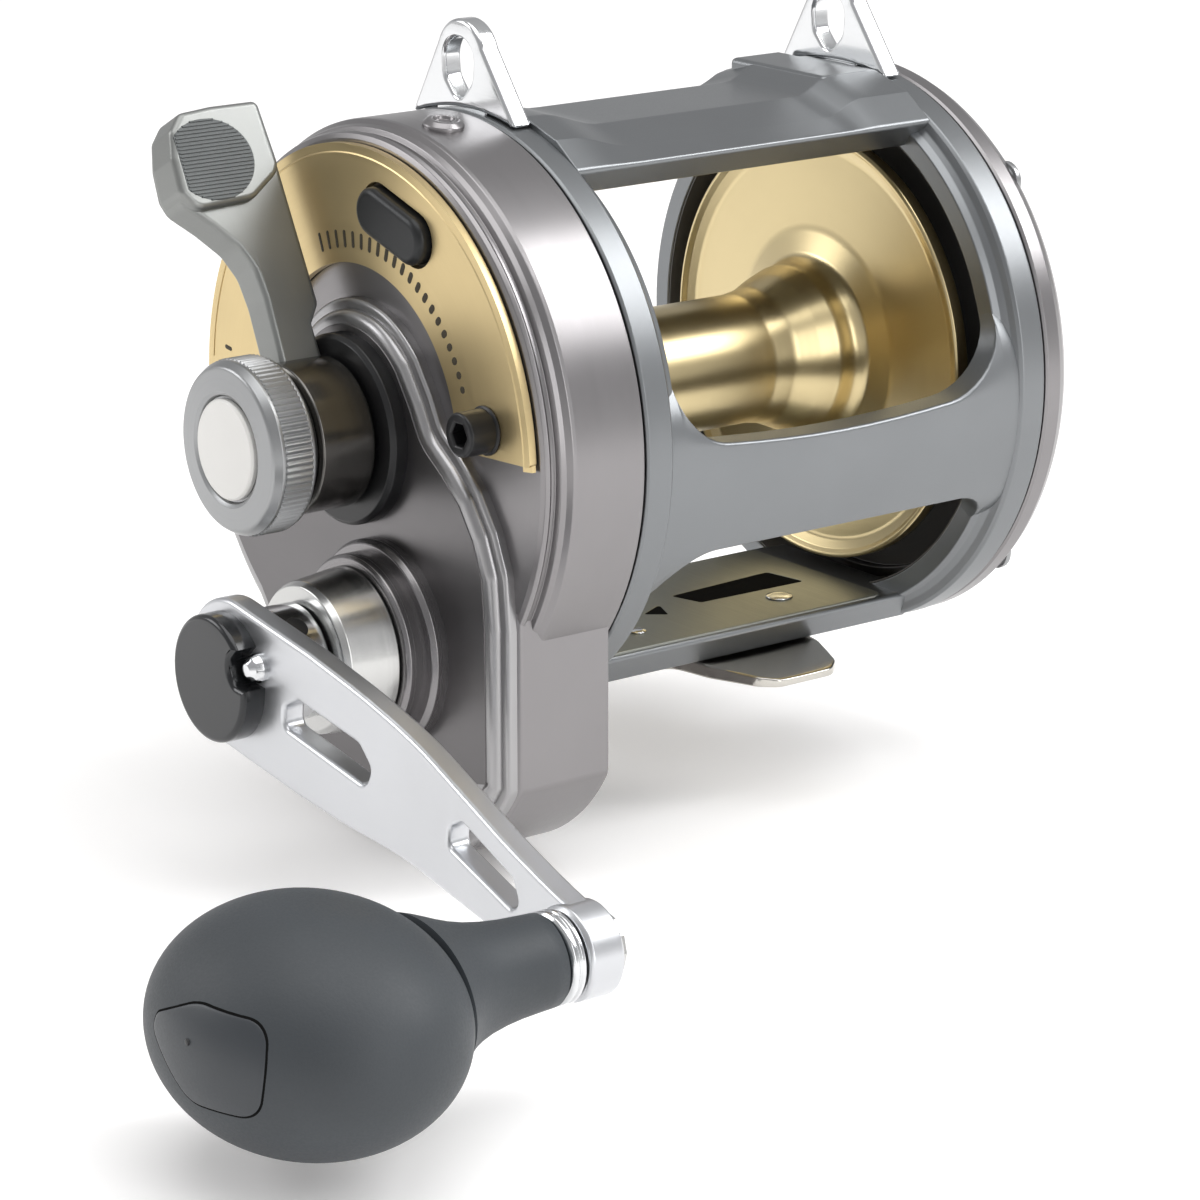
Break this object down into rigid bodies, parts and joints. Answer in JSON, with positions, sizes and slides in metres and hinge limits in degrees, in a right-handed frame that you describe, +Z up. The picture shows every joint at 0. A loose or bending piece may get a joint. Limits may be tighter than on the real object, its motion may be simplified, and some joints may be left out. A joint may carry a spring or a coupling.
{
  "type": "trolling reel",
  "caption": "Lever-drag trolling reel with an open one-piece frame, gold spool, drag quadrant and lever, cranked handle with an oval power grip, harness lugs and a rod foot.",
  "frame": {"origin": "centre of the underside of the reel foot, where it sits on the rod's reel seat", "axes": "+X forward towards the rod tip, +Y towards the angler's left (the crank is on the -Y side), +Z up; the spool axis is parallel to Y"},
  "size_m": [0.1783, 0.2143, 0.1309],
  "materials": {
    "frame": "satin anodised blue-grey",
    "side_plates": "satin anodised warm titanium grey",
    "quadrant": "satin champagne gold anodised with bright bevel",
    "spool": "turned and polished gold anodised",
    "arm": "fine satin silver",
    "bright_steel": "polished stainless steel",
    "gunmetal": "dark gunmetal",
    "black": "black",
    "lever": "light grey satin with a dark knurled thumb pad",
    "knob": "grey, finely knurled rim",
    "disc": "pale matte disc",
    "rubber": "dark slate soft-touch rubber",
    "carbon": "carbon drag washer",
    "bronze": "cut bronze gear"
  },
  "bodies": {
    "housing": {"frame": "frame", "gear_side_plate": "side_plates", "left_side_plate": "side_plates", "quadrant_plate": "quadrant", "reel_foot": "bright_steel", "harness_lug_right": "bright_steel", "harness_lug_left": "bright_steel", "full_stop": "black", "side_plate_screw": "bright_steel", "pinion_bearing": "bright_steel", "shaft_bearing_inner": "bright_steel", "shaft_bearing_outer": "bright_steel", "shaft_sleeve": "side_plates", "foot_screw_1": "bright_steel", "foot_screw_2": "bright_steel", "foot_screw_3": "bright_steel", "foot_screw_4": "bright_steel", "left_plate_screw_1": "bright_steel", "left_plate_screw_2": "bright_steel", "left_plate_screw_3": "bright_steel", "left_plate_screw_4": "bright_steel"},
    "crank": {"handle_arm": "arm", "handle_end_cap": "gunmetal", "lock_screw": "bright_steel", "hub_collar": "bright_steel", "drive_shaft": "bright_steel", "main_gear": "bronze", "ratchet_wheel": "bright_steel", "knob_post": "bright_steel", "knob_collar": "bright_steel"},
    "grip": {"grip": "rubber", "grip_badge": "rubber"},
    "lever": {"drag_lever": "lever", "lever_cam": "bright_steel", "spring_washer_1": "bright_steel", "spring_washer_2": "bright_steel", "preset_spring": "bright_steel"},
    "preset": {"preset_knob": "knob", "knob_cap": "disc"},
    "shaft": {"spool_shaft": "bright_steel", "spool_bearing_right": "bright_steel", "spool_bearing_left": "bright_steel"},
    "spool": {"spool": "spool", "drag_disc": "carbon", "click_gear": "bronze"},
    "pinion": {"pinion_gear": "bronze", "pressure_plate": "bright_steel"},
    "strike": {"strike_button": "gunmetal"},
    "clicker": {"click_button": "black", "click_tongue": "bright_steel"},
    "pawl": {"anti_reverse_pawl": "bright_steel"}
  },
  "joints": [
    {"name": "handle_spin", "type": "hinge", "parent": "housing", "child": "crank", "pos_m": [0.009, -0.0865, 0.0143], "axis": [0, 1, 0], "continuous": true},
    {"name": "pinion_spin", "type": "hinge", "parent": "housing", "child": "pinion", "pos_m": [0, -0.0565, 0.0473], "axis": [0, 1, 0], "continuous": true},
    {"name": "spool_spin", "type": "hinge", "parent": "shaft", "child": "spool", "pos_m": [0, -0.0065, 0.0473], "axis": [0, 1, 0], "continuous": true},
    {"name": "lever_swing", "type": "hinge", "parent": "housing", "child": "lever", "pos_m": [0, -0.0765, 0.0473], "axis": [0, 1, 0], "range_deg": [-54, 94]},
    {"name": "shaft_slide", "type": "slide", "parent": "housing", "child": "shaft", "axis": [0, -1, 0], "range_m": [-0.00036, 0.00064]},
    {"name": "preset_turn", "type": "hinge", "parent": "lever", "child": "preset", "pos_m": [0, -0.0865, 0.0473], "axis": [0, 1, 0], "range_deg": [-180, 180]},
    {"name": "grip_spin", "type": "hinge", "parent": "crank", "child": "grip", "pos_m": [0.1059, -0.1465, -0.00035], "axis": [0, 1, 0], "continuous": true},
    {"name": "strike_press", "type": "slide", "parent": "housing", "child": "strike", "axis": [0, 1, 0], "range_m": [0, 0.002], "stiffness_N_per_m": 200, "springref_m": -0.0005},
    {"name": "clicker_slide", "type": "slide", "parent": "housing", "child": "clicker", "axis": [1, 0, 0], "range_m": [0, 0.0023]},
    {"name": "pawl_rock", "type": "hinge", "parent": "housing", "child": "pawl", "pos_m": [-0.0125, -0.0625, 0.0053], "axis": [0, 1, 0], "range_deg": [0, 10], "stiffness_Nm_per_rad": 0.005, "springref_deg": -17.19}
  ],
  "couplings": [
    {"joint": "pinion_spin", "follows": "handle_spin", "ratio": -5},
    {"joint": "spool_spin", "follows": "handle_spin", "ratio": -5},
    {"joint": "shaft_slide", "follows": "lever_swing", "m_per_rad": 0.000387}
  ]
}
